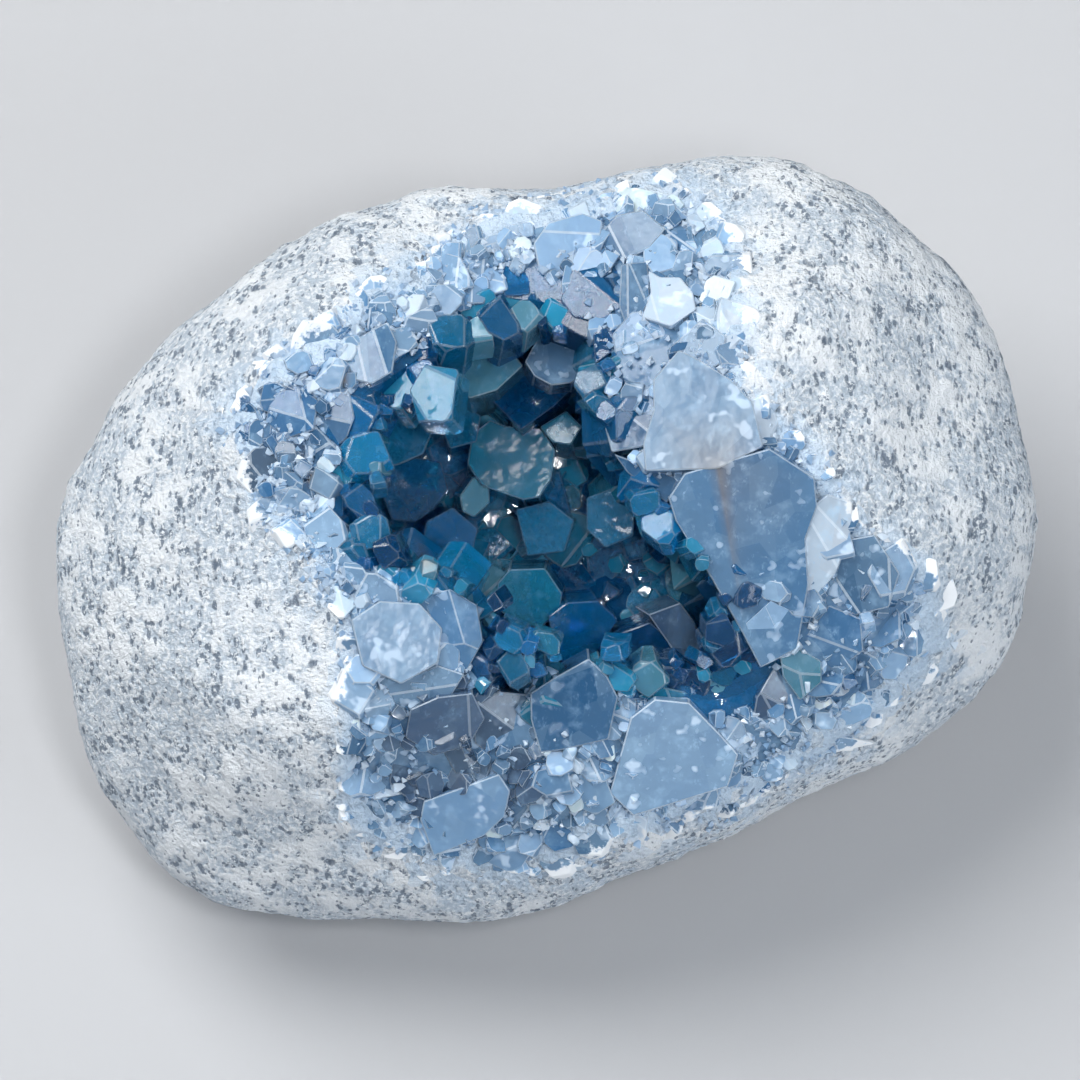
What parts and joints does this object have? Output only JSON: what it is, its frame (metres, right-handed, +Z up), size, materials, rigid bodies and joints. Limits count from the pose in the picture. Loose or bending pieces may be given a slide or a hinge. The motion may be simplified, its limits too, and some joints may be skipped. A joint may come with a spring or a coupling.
{
  "type": "celestite geode",
  "caption": "Tumbled bean-shaped nodule of white speckled stone, open at the top onto a hollow lined with blocky pale to deep blue crystals. Rests on a flat spot.",
  "frame": {"origin": "middle of the bounding box, level with the flat spot that it rests on", "axes": "+X along the nodule's length, +Z up, and the opening leans 20 degrees from +Z towards -Y"},
  "size_m": [0.147, 0.111, 0.0825],
  "materials": {
    "stone": "tumbled smooth, fine grey-blue specks and pits",
    "crystal": "clear to cloudy crystal with glossy flat faces"
  },
  "bodies": {
    "root": {"stone_shell": "stone", "crystal_crust": "crystal"}
  },
  "joints": []
}
